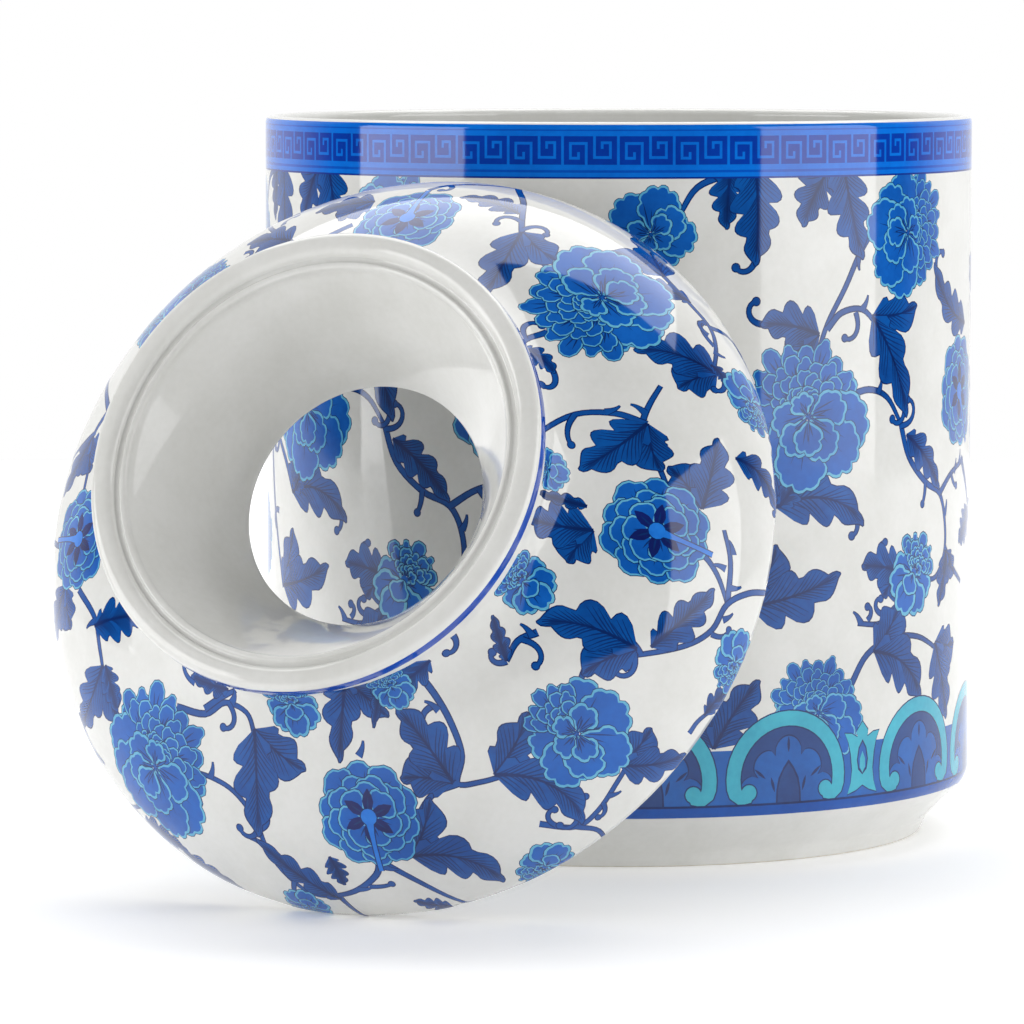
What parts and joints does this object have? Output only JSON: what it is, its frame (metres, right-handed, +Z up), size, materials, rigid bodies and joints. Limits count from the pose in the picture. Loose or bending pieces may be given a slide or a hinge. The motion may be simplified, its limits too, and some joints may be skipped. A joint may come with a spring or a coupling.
{
  "type": "porcelain jar with funnel top",
  "caption": "Open cylindrical glazed porcelain jar with a removable domed shoulder top and funnel neck, which leans against it.",
  "frame": {"origin": "middle of the whole set's outline seen from above, on the plane it stands on", "axes": "+Z up along the jar's own axis, -Y towards the front, where the top leans on the jar, +X to the right seen from the front"},
  "size_m": [0.2004, 0.2592, 0.1619],
  "materials": {
    "jar_glaze": "clear gloss glaze over white body with cobalt blue transfer ornament",
    "top_glaze": "clear gloss glaze over white body with cobalt blue transfer ornament"
  },
  "bodies": {
    "jar_body": {"jar": "jar_glaze"},
    "top_body": {"shoulder_top": "top_glaze"}
  },
  "joints": [
    {"name": "top_lift", "type": "slide", "parent": "jar_body", "child": "top_body", "axis": [0, 0, 1], "range_m": [0, 0.17]}
  ]
}
